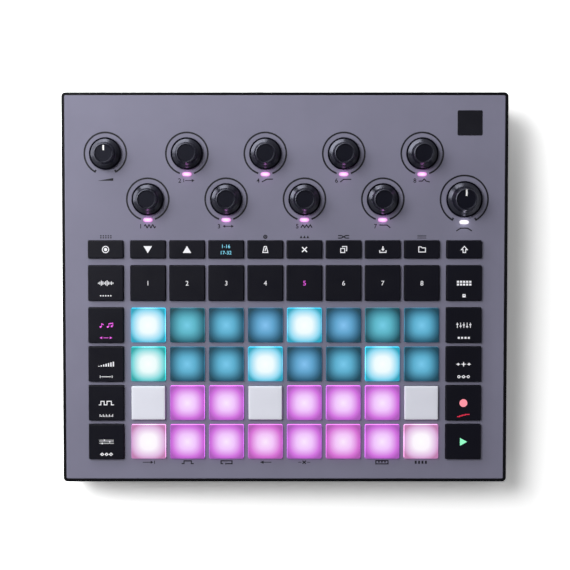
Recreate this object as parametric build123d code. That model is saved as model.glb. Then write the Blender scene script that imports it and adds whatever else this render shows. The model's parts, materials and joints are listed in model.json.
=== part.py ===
from build123d import *
import math
import os

# Sizes are in millimetres and angles in degrees.
# Panel frame: u to the right, v to the rear, w out of the panel, w = 0 on the panel's top face.
# Part frame: origin on the table under the middle, +Y to the rear sockets, +Z up.

# Stance
panel_tilt = 3.0
foot_proud = 2.4
foot_radius = 7.0
foot_recess = 1.0
foot_edge = 0.8
foot_inset = 22.0

# Key grid
button_side = 18.95
short_button_depth = 9.45
pad_side = 18.25
window_clearance = 0.25
panel_bar = 1.65
group_bar = 3.3
short_row_bar = 3.45
pad_columns = 8
pad_rows = 4

# Layout of the panel around the grid
side_margin = 12.475
front_margin = 10.925
knob_row_offset = 27.0
knob_row_pitch = 24.6
rear_margin = 31.2

# Panel shell
panel_thickness = 2.2
panel_edge = 0.4
panel_proud = 0.3
rim_width = 1.4
seat_gap = 0.2
outer_corner = 2.2

# Keys
key_proud = 1.7
key_corner = 0.5
button_edge = 0.4
pad_edge = 0.45
key_seat_gap = 0.2
flange_thickness = 0.8
flange_overlap_share = 0.35
stem_radius = 2.2
press_travel = 0.8
press_gap = 0.1
pad_foot_radius = 6.0
pad_well_radius = 2.6
pad_well_depth = 1.6

# Board and what stands on it
post_height = 5.8
board_thickness = 1.6
board_gap = 1.5
switch_side = 6.0
switch_height = 2.0
plunger_radius = 1.7
plunger_height = 0.6
sensor_thickness = 0.5
sensor_hole_radius = 2.2
chip_side = 1.6
chip_height = 0.6
chip_offset = 5.6

# Rotary controls
encoder_side = 12.0
pot_side = 14.0
control_gap = 0.8
bushing_radius = 3.45
bushing_drop = 0.2
bushing_clearance = 0.25
shaft_radius = 3.0
shaft_clearance = 0.05
shaft_floor = 1.0
shaft_cover = 2.0
shaft_fit = 0.02
shaft_end_gap = 0.1

# Knobs
knob_height = 11.5
knob_gap = 0.6
knob_base_radius = 8.7
knob_top_radius = 5.3
filter_base_radius = 9.8
filter_top_radius = 5.8
knob_skirt = 1.0
knob_ledge = 0.9
brim_width = 2.3
brim_rise = 1.75
brim_round = 2.0
knob_round = 0.45
knob_rim = 0.55
dish_depth = 0.4
pointer_width = 1.2
pointer_inner = 1.2
pointer_depth = 0.25

# Light pipes under the knobs
light_length = 5.2
light_width = 2.2
light_offset = 11.1
filter_light_offset = 12.3
light_clearance = 0.05
light_flange = 0.7
light_flange_thickness = 0.8
light_chip_gap = 0.3

# Lower case
band_height = 5.0
lower_inset = 1.0
band_overlap = 1.2
rear_recess = 3.0
wall = 2.2
floor_thickness = 2.2
side_draft = 6.0
front_draft = 5.0
lower_corner = 4.0

# Screws, posts and bosses
screw_radius = 1.5
screw_head_radius = 2.7
screw_head_height = 2.2
screw_recess_width = 1.2
screw_recess_depth = 1.2
screw_grip = 3.0
screw_bite = 4.4
screw_tip_gap = 0.3
screw_clearance = 0.05
screw_hole_clearance = 0.2
head_clearance = 0.4
post_radius = 3.0
post_gap = 0.6
boss_wall = 1.5
rear_post_margin = 9.0
middle_post_share = 0.42

# Sockets along the rear wall
socket_gap = 2.0
audio_slot = 16.0
audio_body_height = 12.0
audio_bore_radius = 3.25
audio_bore_depth = 31.0
audio_back = 2.0
mini_slot = 12.0
mini_body_width = 9.0
mini_body_height = 6.6
mini_bore_radius = 1.8
mini_bore_depth = 14.5
mini_back = 1.5
audio_nose_wall = 1.0
mini_nose_wall = 0.8
nose_proud = 0.4
nose_clearance = 0.15
usb_slot = 12.0
usb_width = 8.94
usb_height = 3.2
usb_depth = 9.5
usb_shell = 0.3
usb_back = 1.2
usb_tongue_width = 6.7
usb_tongue_height = 0.7
usb_tongue_setback = 1.0
card_slot = 16.0
card_body_width = 14.0
card_body_depth = 15.0
card_body_height = 2.0
card_opening_width = 11.4
card_opening_height = 1.0
card_opening_depth = 13.0
slot_clearance = 0.2
power_slot = 12.0
power_radius = 3.5
power_proud = 1.3
power_flange = 0.9
power_flange_thickness = 0.8
power_edge = 0.4
power_clearance = 0.3
power_axis_drop = 4.6
power_switch_side = 7.0
power_switch_depth = 5.0
lock_slot = 12.0
lock_width = 7.0
lock_height = 3.0

# Battery pack on the floor
battery_width = 92.0
battery_depth = 74.0
battery_thickness = 7.0
battery_edge = 1.2
battery_headroom = 5.35
battery_front = -58.0
battery_gap = 0.3
rib_height = 4.0
rib_thickness = 1.8
rib_length = 14.0

# One overrun serves every through cut
overrun = 1.0

# Worked out from the sizes above
tilt_sine = math.sin(math.radians(panel_tilt))
tilt_cosine = math.cos(math.radians(panel_tilt))

pitch = button_side + 2 * window_clearance + panel_bar
group_pitch = button_side + 2 * window_clearance + group_bar
short_pitch = (button_side + short_button_depth) / 2 + 2 * window_clearance + short_row_bar
column_u = [(index - (pad_columns - 1) / 2) * pitch for index in range(pad_columns)]
side_u = column_u[-1] + group_pitch
field_half = side_u + button_side / 2

pad_field_depth = (pad_rows - 1) * pitch
panel_width = 2 * (field_half + side_margin)
panel_depth = (front_margin + button_side / 2 + pad_field_depth + group_pitch + short_pitch
               + knob_row_offset + knob_row_pitch + rear_margin)
front_row_v = -panel_depth / 2 + front_margin + button_side / 2
pad_v = [front_row_v + (pad_rows - 1 - row) * pitch for row in range(pad_rows)]
track_v = pad_v[0] + group_pitch
short_v = track_v + short_pitch
lower_knob_v = short_v + knob_row_offset
upper_knob_v = lower_knob_v + knob_row_pitch

case_width = panel_width + 2 * (rim_width + seat_gap)
case_depth = panel_depth + 2 * (rim_width + seat_gap)

panel_bottom = -panel_thickness
board_top = panel_bottom - post_height
board_bottom = board_top - board_thickness
flange_reach = window_clearance + panel_bar * flange_overlap_share
flange_top = panel_bottom - key_seat_gap
flange_bottom = flange_top - flange_thickness
stem_bottom = board_top + switch_height + press_gap + press_travel
pad_foot_bottom = board_top + sensor_thickness + press_gap + press_travel

floor_outside = foot_proud
floor_inside = foot_proud + floor_thickness
battery_top = floor_inside + battery_thickness
panel_height = (battery_top + battery_headroom - board_bottom * tilt_cosine
                - battery_front * tilt_sine)
frame_shift = -(band_height + panel_proud) * tilt_sine / 2
panel_frame = Location((0, frame_shift, panel_height), (panel_tilt, 0, 0))
profile_floor = -(panel_height + case_depth * tilt_sine)

cavity_half = case_width / 2 - lower_inset - wall
rear_outside_v = case_depth / 2 - rear_recess
rear_inside_v = rear_outside_v - wall
front_inside_v = -case_depth / 2 + lower_inset + wall
post_offset = flange_reach + post_gap + post_radius
post_u = field_half + post_offset
front_post_v = front_row_v - button_side / 2 - post_offset
rear_post_v = panel_depth / 2 - rear_post_margin
middle_post_v = short_v + knob_row_offset * middle_post_share
screw_seat = board_bottom - screw_grip
boss_radius = screw_head_radius + head_clearance + boss_wall
dish_floor = knob_height - dish_depth
shaft_height = dish_floor - shaft_cover

knob_places = {"volume_knob": (-side_u, upper_knob_v), "filter_knob": (side_u, lower_knob_v)}
for index, column in enumerate(column_u):
    row_v = upper_knob_v if index % 2 else lower_knob_v
    knob_places[f"encoder_knob_{index + 1}"] = (column, row_v)
encoder_places = [spot for name, spot in knob_places.items() if name.startswith("encoder")]
pot_places = [knob_places["volume_knob"], knob_places["filter_knob"]]

light_places = [(u, v - light_offset) for u, v in encoder_places]
light_places.append((side_u, lower_knob_v - filter_light_offset))

post_places = [(side * post_u, v) for side in (-1, 1) for v in (front_post_v, track_v, rear_post_v)]
post_places += [(0, front_post_v), (0, middle_post_v)]

short_names = ["capture", "scroll_down", "scroll_up", "page", "tempo", "clear", "copy", "save",
               "projects", "shift"]
track_names = ["sample"] + [f"track_{number}" for number in range(1, pad_columns + 1)] + ["patterns"]
left_names = ["note", "velocity", "gate", "pattern_settings"]
right_names = ["mixer", "effects", "record", "play"]
row_u = [-side_u] + column_u + [side_u]

square_places = dict(zip(track_names, [(u, track_v) for u in row_u]))
square_places |= dict(zip(left_names, [(-side_u, v) for v in pad_v]))
square_places |= dict(zip(right_names, [(side_u, v) for v in pad_v]))
short_places = dict(zip(short_names, [(u, short_v) for u in row_u]))
button_places = short_places | square_places

rear_order = ["lock", "power", "usb", "card", "midi_out", "midi_in", "midi_thru",
              "left_input", "right_input", "sync", "phones", "left_output", "right_output"]
slot_widths = {"lock": lock_slot, "power": power_slot, "usb": usb_slot, "card": card_slot}
audio_names = ["left_input", "right_input", "left_output", "right_output"]
mini_names = ["midi_out", "midi_in", "midi_thru", "sync", "phones"]
slot_widths |= {name: audio_slot for name in audio_names}
slot_widths |= {name: mini_slot for name in mini_names}


def rear_places():
    """Centre of each socket along u, set one after another with an even gap."""
    total = sum(slot_widths.values()) + socket_gap * (len(rear_order) - 1)
    places = {}
    edge = -total / 2
    for name in rear_order:
        places[name] = edge + slot_widths[name] / 2
        edge += slot_widths[name] + socket_gap
    return places


rear_u = rear_places()
nose_face_v = rear_outside_v + nose_proud
audio_nose_radius = audio_bore_radius + audio_nose_wall
mini_nose_radius = mini_bore_radius + mini_nose_wall
audio_w = board_bottom - audio_body_height / 2
mini_w = board_bottom - mini_body_height / 2
usb_w = board_bottom - usb_height / 2
card_w = board_bottom - card_body_height / 2
power_w = board_bottom - power_axis_drop
lock_w = audio_w


def block(width, depth, bottom, top, u=0, v=0):
    """Box centred on (u, v) that runs from bottom to top."""
    box = Box(width, depth, top - bottom, align=(Align.CENTER, Align.CENTER, Align.MIN))
    return Pos(u, v, bottom) * box


def soft_block(width, depth, corner, bottom, top, u=0, v=0):
    """Box with rounded upright corners."""
    return Pos(u, v, bottom) * extrude(RectangleRounded(width, depth, corner), top - bottom)


def rod(radius, bottom, top, u=0, v=0):
    """Upright cylinder."""
    cylinder = Cylinder(radius, top - bottom, align=(Align.CENTER, Align.CENTER, Align.MIN))
    return Pos(u, v, bottom) * cylinder


def rear_rod(radius, front_v, back_v, u, w):
    """Cylinder along v."""
    cylinder = Cylinder(radius, back_v - front_v, align=(Align.CENTER, Align.CENTER, Align.MIN))
    return Pos(u, front_v, w) * Rot(-90, 0, 0) * cylinder


def rear_block(width, height, front_v, back_v, u, w):
    """Box along v, centred on (u, w)."""
    box = Box(width, back_v - front_v, height, align=(Align.CENTER, Align.MIN, Align.CENTER))
    return Pos(u, front_v, w) * box


def rear_lozenge(width, height, front_v, back_v, u, w):
    """Bar along v with half-round ends."""
    bar = extrude(SlotOverall(width, height), back_v - front_v)
    return Pos(u, front_v, w) * Rot(-90, 0, 0) * bar


def top_edges(part):
    """The edges of the highest face."""
    return part.edges().group_by(Axis.Z)[-1]


def group(solids):
    """Separate solids kept together in one node."""
    return Compound(children=[solid for part in solids for solid in part.solids()])


def place(shape):
    """From the panel frame to the part frame."""
    return panel_frame * shape


# Top panel

def key_windows():
    grow = 2 * window_clearance
    corner = key_corner + window_clearance
    cuts = []
    for u, v in square_places.values():
        cuts.append(soft_block(button_side + grow, button_side + grow, corner,
                               panel_bottom - overrun, overrun, u, v))
    for u, v in short_places.values():
        cuts.append(soft_block(button_side + grow, short_button_depth + grow, corner,
                               panel_bottom - overrun, overrun, u, v))
    for u in column_u:
        for v in pad_v:
            cuts.append(soft_block(pad_side + grow, pad_side + grow, corner,
                                   panel_bottom - overrun, overrun, u, v))
    return cuts


def light_bar(grow, bottom, top, u, v):
    """Lozenge of a light window, grown on every side."""
    outline = SlotOverall(light_length + 2 * grow, light_width + 2 * grow)
    return Pos(u, v, bottom) * extrude(outline, top - bottom)


def top_panel():
    panel = soft_block(panel_width, panel_depth, outer_corner - rim_width, panel_bottom, 0)
    panel = fillet(top_edges(panel), panel_edge)
    cuts = key_windows()
    for u, v in knob_places.values():
        cuts.append(rod(bushing_radius + bushing_clearance, panel_bottom - overrun, overrun, u, v))
    for u, v in light_places:
        cuts.append(light_bar(light_clearance, panel_bottom - overrun, overrun, u, v))
    panel = panel - cuts
    panel = panel + [rod(post_radius, board_top, panel_bottom, u, v) for u, v in post_places]
    pilot_top = board_top + screw_bite + screw_tip_gap
    pilots = [rod(screw_radius + screw_clearance, board_top - overrun, pilot_top, u, v)
              for u, v in post_places]
    return place(panel - pilots)


# Lower case

def above(height):
    """Everything above a level of the part frame, seen in the panel frame."""
    span = 2 * (case_width + case_depth)
    return panel_frame.inverse() * block(span, span, height, height + span)


def drafted_body(inset, top, upright):
    """Tray body whose front and sides lean in below the band. Upright keeps its upper walls straight."""
    half = case_width / 2 - lower_inset - inset
    front = -case_depth / 2 + lower_inset + inset
    rear = case_depth / 2 - rear_recess - inset
    side_slope = math.tan(math.radians(side_draft))
    front_slope = math.tan(math.radians(front_draft))
    drop = -band_height - profile_floor
    rise = top + band_height
    side_lean = half if upright else half + rise * side_slope
    front_lean = front if upright else front - rise * front_slope
    low_half = half - drop * side_slope
    low_front = front + drop * front_slope
    front_view = [(-side_lean, top), (-half, -band_height), (-low_half, profile_floor),
                  (low_half, profile_floor), (half, -band_height), (side_lean, top)]
    side_view = [(front_lean, top), (front, -band_height), (low_front, profile_floor),
                 (rear, profile_floor), (rear, top)]
    along_v = extrude(Plane.XZ * make_face(Polyline(*front_view, close=True)), case_depth, both=True)
    along_u = extrude(Plane.YZ * make_face(Polyline(*side_view, close=True)), case_width, both=True)
    return along_v & along_u


def corner_edges(body):
    """The four leaning edges between front, sides and rear."""
    return body.edges().sort_by(lambda edge: edge.bounding_box().size.Z)[-4:]


def socket_cuts():
    """Openings in the rear wall."""
    start = rear_inside_v - overrun
    end = rear_outside_v + overrun
    cuts = [rear_rod(audio_nose_radius + nose_clearance, start, end, rear_u[name], audio_w)
            for name in audio_names]
    cuts += [rear_rod(mini_nose_radius + nose_clearance, start, end, rear_u[name], mini_w)
             for name in mini_names]
    cuts.append(rear_lozenge(usb_width + 2 * slot_clearance, usb_height + 2 * slot_clearance,
                             start, end, rear_u["usb"], usb_w))
    cuts.append(rear_block(card_opening_width + 2 * slot_clearance,
                           card_opening_height + 2 * slot_clearance,
                           start, end, rear_u["card"], card_w))
    cuts.append(rear_rod(power_radius + power_clearance, start, end, rear_u["power"], power_w))
    cuts.append(rear_block(lock_width, lock_height, start, end, rear_u["lock"], lock_w))
    return cuts


def foot_places():
    """Middle of each foot in the part frame."""
    side = case_width / 2 - lower_inset - foot_inset
    depth = case_depth / 2 - lower_inset - foot_inset
    return [(x * side, y * depth) for x in (-1, 1) for y in (-1, 1)]


def battery_ribs():
    """Corner ribs on the floor that hold the battery pack."""
    ribs = []
    middle_y = battery_front + battery_depth / 2
    side_x = battery_width / 2 + battery_gap + rib_thickness / 2
    end_y = battery_depth / 2 + battery_gap + rib_thickness / 2
    top = floor_inside + rib_height
    low = floor_outside + floor_thickness / 2
    for x in (-1, 1):
        for y in (-1, 1):
            inward_x = battery_width / 2 - rib_length / 2
            inward_y = battery_depth / 2 - rib_length / 2
            ribs.append(block(rib_thickness, rib_length, low, top, x * side_x, middle_y + y * inward_y))
            ribs.append(block(rib_length, rib_thickness, low, top, x * inward_x, middle_y + y * end_y))
    return ribs


def bottom_case():
    outer = drafted_body(0, -band_height + band_overlap, False) & above(floor_outside)
    outer = fillet(corner_edges(outer), lower_corner)
    band = soft_block(case_width, case_depth, outer_corner, -band_height, -panel_proud)
    seat = soft_block(panel_width + 2 * seat_gap, panel_depth + 2 * seat_gap,
                      outer_corner - rim_width + seat_gap, panel_bottom, overrun)
    cavity = drafted_body(wall, overrun, True) & above(floor_inside)
    bosses = [rod(boss_radius, profile_floor, board_bottom, u, v) & outer for u, v in post_places]
    case = band + outer - cavity - seat + bosses
    cuts = socket_cuts()
    for u, v in post_places:
        cuts.append(rod(screw_radius + screw_hole_clearance, profile_floor, 0, u, v))
        cuts.append(rod(screw_head_radius + head_clearance, profile_floor, screw_seat, u, v))
    case = place(case - cuts) + battery_ribs()
    pocket_top = floor_outside + foot_recess
    pockets = [rod(foot_radius, 0, pocket_top, x, y) for x, y in foot_places()]
    return case - pockets


def rubber_feet():
    feet = []
    for x, y in foot_places():
        foot = rod(foot_radius, 0, floor_outside + foot_recess, x, y)
        feet.append(chamfer(foot.edges().group_by(Axis.Z)[0], foot_edge))
    return group(feet)


def screw():
    """Pan head screw standing on its seat, thread up, with a square drive recess."""
    head_bottom = screw_seat - screw_head_height
    shank_top = board_top + screw_bite
    body = rod(screw_head_radius, head_bottom, screw_seat) + rod(screw_radius, screw_seat, shank_top)
    recess = block(screw_recess_width, screw_recess_width, head_bottom, head_bottom + screw_recess_depth)
    return body - recess


def screws():
    single = screw()
    return place(group([Pos(u, v, 0) * single for u, v in post_places]))


# Board and the parts soldered to it

def main_board():
    front = front_inside_v + board_gap
    rear = rear_inside_v - board_gap
    board = block(2 * (cavity_half - board_gap), rear - front, board_bottom, board_top,
                  0, (front + rear) / 2)
    holes = [rod(screw_radius + screw_hole_clearance, board_bottom - overrun, board_top + overrun, u, v)
             for u, v in post_places]
    return place(board - holes)


def led_chips():
    places = [(u + chip_offset, v) for u, v in button_places.values()]
    places += [(u, v) for u in column_u for v in pad_v]
    places += light_places
    chip = block(chip_side, chip_side, board_top, board_top + chip_height)
    return place(group([Pos(u, v, 0) * chip for u, v in places]))


def button_switches():
    plate_top = board_top + switch_height - plunger_height
    switch = block(switch_side, switch_side, board_top, plate_top)
    switch = switch + rod(plunger_radius, plate_top, board_top + switch_height)
    return place(group([Pos(u, v, 0) * switch for u, v in button_places.values()]))


def pad_sensor_sheet():
    middle_v = (pad_v[0] + pad_v[-1]) / 2
    sheet = block(pad_columns * pitch, pad_rows * pitch, board_top, board_top + sensor_thickness,
                  0, middle_v)
    holes = [rod(sensor_hole_radius, board_top - overrun, board_top + overrun, u, v)
             for u in column_u for v in pad_v]
    return place(sheet - holes)


def control_body(side):
    """Square body with its bushing, bored for the shaft."""
    body_top = panel_bottom - control_gap
    body = block(side, side, board_top, body_top)
    body = body + rod(bushing_radius, body_top, -bushing_drop)
    return body - rod(shaft_radius + shaft_clearance, board_top + shaft_floor, overrun)


def encoder_bodies():
    body = control_body(encoder_side)
    return place(group([Pos(u, v, 0) * body for u, v in encoder_places]))


def potentiometer_bodies():
    body = control_body(pot_side)
    return place(group([Pos(u, v, 0) * body for u, v in pot_places]))


def knob_light_pipes():
    pipes = []
    low = board_top + chip_height + light_chip_gap
    flange_low = panel_bottom - light_flange_thickness
    for u, v in light_places:
        pipe = light_bar(0, low, 0, u, v)
        pipes.append(pipe + light_bar(light_flange, flange_low, panel_bottom, u, v))
    return place(group(pipes))


# Knobs, each with its shaft

def corner_arc(before, corner, after, radius):
    """Start, middle and end of the arc that rounds a corner between two lines."""
    inward = (Vector(before) - Vector(corner)).normalized()
    outward = (Vector(after) - Vector(corner)).normalized()
    half_angle = math.radians(inward.get_angle(outward)) / 2
    reach = radius / math.tan(half_angle)
    sag = radius / math.sin(half_angle) - radius
    middle = Vector(corner) + (inward + outward).normalized() * sag
    return Vector(corner) + inward * reach, middle, Vector(corner) + outward * reach


def knob_cap(base_radius, top_radius):
    """Knob with a short skirt, a ledge, a sloped brim, a steep wall, a rounded rim and a dished top."""
    skirt_top = knob_gap + knob_skirt
    side_top = knob_height - knob_round
    brim_radius = base_radius - knob_ledge
    foot = (brim_radius - brim_width, skirt_top + brim_rise)
    flare = corner_arc((brim_radius, skirt_top), foot, (top_radius, side_top), brim_round)
    crown_radius = top_radius - knob_round
    dish_radius = crown_radius - knob_rim
    corner = knob_round * math.sqrt(1 / 2)
    crown_bend = (crown_radius + corner, side_top + corner)
    outline = [
        Line((0, knob_gap), (base_radius, knob_gap)),
        Line((base_radius, knob_gap), (base_radius, skirt_top)),
        Line((base_radius, skirt_top), (brim_radius, skirt_top)),
        Line((brim_radius, skirt_top), flare[0]),
        ThreePointArc(*flare),
        Line(flare[2], (top_radius, side_top)),
        ThreePointArc((top_radius, side_top), crown_bend, (crown_radius, knob_height)),
        Line((crown_radius, knob_height), (dish_radius, dish_floor)),
        Line((dish_radius, dish_floor), (0, dish_floor)),
        Line((0, dish_floor), (0, knob_gap)),
    ]
    cap = revolve(Plane.XZ * make_face(outline), Axis.Z)
    return cap - rod(shaft_radius + shaft_fit, 0, shaft_height)


def knob_shaft():
    return rod(shaft_radius, board_top + shaft_floor + shaft_end_gap, shaft_height)


def pointer_groove(top_radius):
    """Shallow groove for the painted pointer, at twelve o'clock, from the dish out through the rim."""
    length = top_radius + knob_round - pointer_inner
    return block(pointer_width, length, dish_floor - pointer_depth, knob_height + overrun,
                 0, pointer_inner + length / 2)


def knob(name):
    wide = name == "filter_knob"
    base_radius = filter_base_radius if wide else knob_base_radius
    top_radius = filter_top_radius if wide else knob_top_radius
    cap = knob_cap(base_radius, top_radius)
    if not name.startswith("encoder"):
        cap = cap - pointer_groove(top_radius)
    u, v = knob_places[name]
    return place(group([Pos(u, v, 0) * cap, Pos(u, v, 0) * knob_shaft()]))


# Keys

def button(depth):
    """Key cap with the flange that keeps it under the panel and the stem that meets its switch."""
    cap = soft_block(button_side, depth, key_corner, flange_bottom, key_proud)
    cap = fillet(top_edges(cap), button_edge)
    reach = 2 * flange_reach
    flange = soft_block(button_side + reach, depth + reach, key_corner, flange_bottom, flange_top)
    return cap + flange + rod(stem_radius, stem_bottom, flange_bottom)


def pad_strip(v):
    """Eight pads on one thin web, each with a ring foot over the sensor sheet."""
    pad = soft_block(pad_side, pad_side, key_corner, flange_bottom, key_proud)
    pad = fillet(top_edges(pad), pad_edge)
    pad = pad + rod(pad_foot_radius, pad_foot_bottom, flange_bottom)
    pad = pad - rod(pad_well_radius, pad_foot_bottom, pad_foot_bottom + pad_well_depth)
    web_width = (pad_columns - 1) * pitch + pad_side + 2 * flange_reach
    web = soft_block(web_width, pad_side + 2 * flange_reach, key_corner, flange_bottom, flange_top)
    strip = web + [Pos(u, 0, 0) * pad for u in column_u]
    return place(Pos(0, v, 0) * strip)


# Rear sockets and power button

def audio_jacks():
    """Sockets under the board, each with a nose through the rear wall."""
    jacks = []
    for name in audio_names:
        u = rear_u[name]
        front = nose_face_v - audio_bore_depth - audio_back
        body = rear_block(audio_slot, audio_body_height, front, rear_inside_v, u, audio_w)
        nose = rear_rod(audio_nose_radius, rear_inside_v, nose_face_v, u, audio_w)
        bore = rear_rod(audio_bore_radius, front + audio_back, nose_face_v + overrun, u, audio_w)
        jacks.append(body + nose - bore)
    return place(group(jacks))


def mini_jacks():
    jacks = []
    for name in mini_names:
        u = rear_u[name]
        front = nose_face_v - mini_bore_depth - mini_back
        body = rear_block(mini_body_width, mini_body_height, front, rear_inside_v, u, mini_w)
        nose = rear_rod(mini_nose_radius, rear_inside_v, nose_face_v, u, mini_w)
        bore = rear_rod(mini_bore_radius, front + mini_back, nose_face_v + overrun, u, mini_w)
        jacks.append(body + nose - bore)
    return place(group(jacks))


def usb_socket():
    u = rear_u["usb"]
    front = rear_outside_v - usb_depth
    shell = rear_lozenge(usb_width, usb_height, front, rear_outside_v, u, usb_w)
    hollow = rear_lozenge(usb_width - 2 * usb_shell, usb_height - 2 * usb_shell,
                          front + usb_back, rear_outside_v + overrun, u, usb_w)
    tongue = rear_block(usb_tongue_width, usb_tongue_height, front + usb_back / 2,
                        rear_outside_v - usb_tongue_setback, u, usb_w)
    return place(shell - hollow + tongue)


def card_socket():
    u = rear_u["card"]
    body = rear_block(card_body_width, card_body_height, rear_inside_v - card_body_depth,
                      rear_inside_v, u, card_w)
    slot = rear_block(card_opening_width, card_opening_height, rear_inside_v - card_opening_depth,
                      rear_inside_v + overrun, u, card_w)
    return place(body - slot)


power_flange_front_v = rear_inside_v - key_seat_gap - power_flange_thickness
power_switch_face_v = power_flange_front_v - press_travel - press_gap


def power_switch():
    """Side press switch under the board, behind the power button."""
    u = rear_u["power"]
    height = 2 * power_axis_drop
    body = rear_block(power_switch_side, height, power_switch_face_v - power_switch_depth,
                      power_switch_face_v, u, power_w)
    return place(body)


def power_button():
    u = rear_u["power"]
    cap = rear_rod(power_radius, power_flange_front_v, rear_outside_v + power_proud, u, power_w)
    cap = fillet(cap.edges().group_by(Axis.Y)[-1], power_edge)
    flange = rear_rod(power_radius + power_flange, power_flange_front_v,
                      power_flange_front_v + power_flange_thickness, u, power_w)
    return place(cap + flange)


# Battery pack

def battery_pack():
    pack = block(battery_width, battery_depth, floor_inside, battery_top,
                 0, battery_front + battery_depth / 2)
    return fillet(pack.edges().filter_by(Axis.Z), battery_edge)


nodes = {
    "top_panel": top_panel(),
    "bottom_case": bottom_case(),
    "rubber_feet": rubber_feet(),
    "screws": screws(),
    "main_board": main_board(),
    "led_chips": led_chips(),
    "encoder_bodies": encoder_bodies(),
    "potentiometer_bodies": potentiometer_bodies(),
    "button_switches": button_switches(),
    "pad_sensor_sheet": pad_sensor_sheet(),
    "knob_light_pipes": knob_light_pipes(),
    "audio_jacks": audio_jacks(),
    "mini_jacks": mini_jacks(),
    "usb_socket": usb_socket(),
    "card_socket": card_socket(),
    "power_switch": power_switch(),
    "power_button": power_button(),
    "battery_pack": battery_pack(),
}
for name in knob_places:
    nodes[name] = knob(name)
square_button = button(button_side)
short_button = button(short_button_depth)
for name, (u, v) in square_places.items():
    nodes[f"{name}_button"] = place(Pos(u, v, 0) * square_button)
for name, (u, v) in short_places.items():
    nodes[f"{name}_button"] = place(Pos(u, v, 0) * short_button)
for row, v in enumerate(pad_v):
    nodes[f"pad_row_{row + 1}"] = pad_strip(v)

os.makedirs("parts", exist_ok=True)
for name, shape in nodes.items():
    export_step(shape, f"parts/{name}.step")
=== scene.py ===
import json
import math

import bmesh
import bpy
from mathutils import Matrix, Vector


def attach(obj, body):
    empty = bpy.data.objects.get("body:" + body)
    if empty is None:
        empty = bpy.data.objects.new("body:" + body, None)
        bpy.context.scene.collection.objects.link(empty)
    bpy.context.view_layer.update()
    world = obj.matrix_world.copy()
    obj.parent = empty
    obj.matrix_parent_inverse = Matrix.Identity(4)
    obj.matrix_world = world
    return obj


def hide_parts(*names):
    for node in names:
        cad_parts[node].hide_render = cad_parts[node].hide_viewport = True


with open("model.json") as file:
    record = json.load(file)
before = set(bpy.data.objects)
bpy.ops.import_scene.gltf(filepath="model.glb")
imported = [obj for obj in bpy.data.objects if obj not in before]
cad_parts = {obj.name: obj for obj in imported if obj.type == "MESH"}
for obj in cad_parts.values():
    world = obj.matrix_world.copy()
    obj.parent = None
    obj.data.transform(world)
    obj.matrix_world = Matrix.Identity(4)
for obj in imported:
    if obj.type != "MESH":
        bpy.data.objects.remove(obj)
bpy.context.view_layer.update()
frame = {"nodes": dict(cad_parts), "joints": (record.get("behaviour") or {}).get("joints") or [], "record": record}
scene = bpy.context.scene
scene.view_settings.view_transform = "Standard"

# Lengths are in metres.
mm = 0.001
quarter = math.pi / 2
half_turn = math.pi

# Camera, straight down, a little to the left of the middle
camera_place = (-8.0 * mm, 1.54 * mm, 927.5 * mm)
camera_lens = 105.0
camera_shift = 0.0262
sensor_width = 36.0

# Studio
target_place = (0, 40.0 * mm, 30.0 * mm)
key_light_place = (-395.0 * mm, 268.0 * mm, 759.0 * mm)
key_size = (500.0 * mm, 500.0 * mm)
key_power = 5.5
strip_size = (1300.0 * mm, 120.0 * mm)
strip_place = (-400.0 * mm, 420.0 * mm, 215.0 * mm)
strip_power = 3.8
fill_place = (520.0 * mm, -420.0 * mm, 170.0 * mm)
fill_size = (420.0 * mm, 160.0 * mm)
fill_power = 0.08
window_lamp_rise = 1.6 * mm
window_lamp_radius = 1.0 * mm
window_lamp_power = 0.0009
ambient_side = (-0.76, 0.65, 0)
ambient_span = (0.02, 0.48)
horizon_share = 0.05
floor_side = 16.0
floor_tone = 0.86
floor_seen_tone = 1.56
floor_glow = 0.105
floor_near = 300.0 * mm
floor_far = 1200.0 * mm

# Colours, linear
panel_colour = (0.202, 0.197, 0.272)
case_colour = (0.004, 0.004, 0.006)
key_colour = (0.004, 0.004, 0.009)
knob_colour = (0.003, 0.003, 0.007)
print_colour = (0.005, 0.005, 0.010)
cool_sheen = (0.78, 0.80, 1.0, 1.0)
silicone_colour = (0.74, 0.75, 0.84)
pad_body_colour = (0.010, 0.014, 0.018)
pink_window_tones = ((1.0, 0.78, 0.96), (0.96, 0.62, 0.92), (0.34, 0.12, 0.33))
white_window_tones = ((1.0, 1.0, 1.0), (0.95, 0.92, 0.96), (0.36, 0.34, 0.38))
pink_window_strength = 0.92
white_window_strength = 1.0
window_stop_shares = (0.0, 0.6, 1.0)

# Legends that light up: colour and strength
legend_looks = {
    "white_legend": ((0.86, 0.86, 0.90), 0.45),
    "cyan_legend": ((0.22, 0.70, 0.90), 0.7),
    "magenta_legend": ((0.75, 0.10, 0.71), 0.7),
    "red_legend": ((0.72, 0.022, 0.062), 0.7),
    "rose_legend": ((0.91, 0.27, 0.33), 0.7),
    "green_legend": ((0.27, 0.88, 0.52), 0.7),
}
legend_body_share = 0.6
legend_pale_share = 0.88
legend_patch_share = 1 / 3

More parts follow.
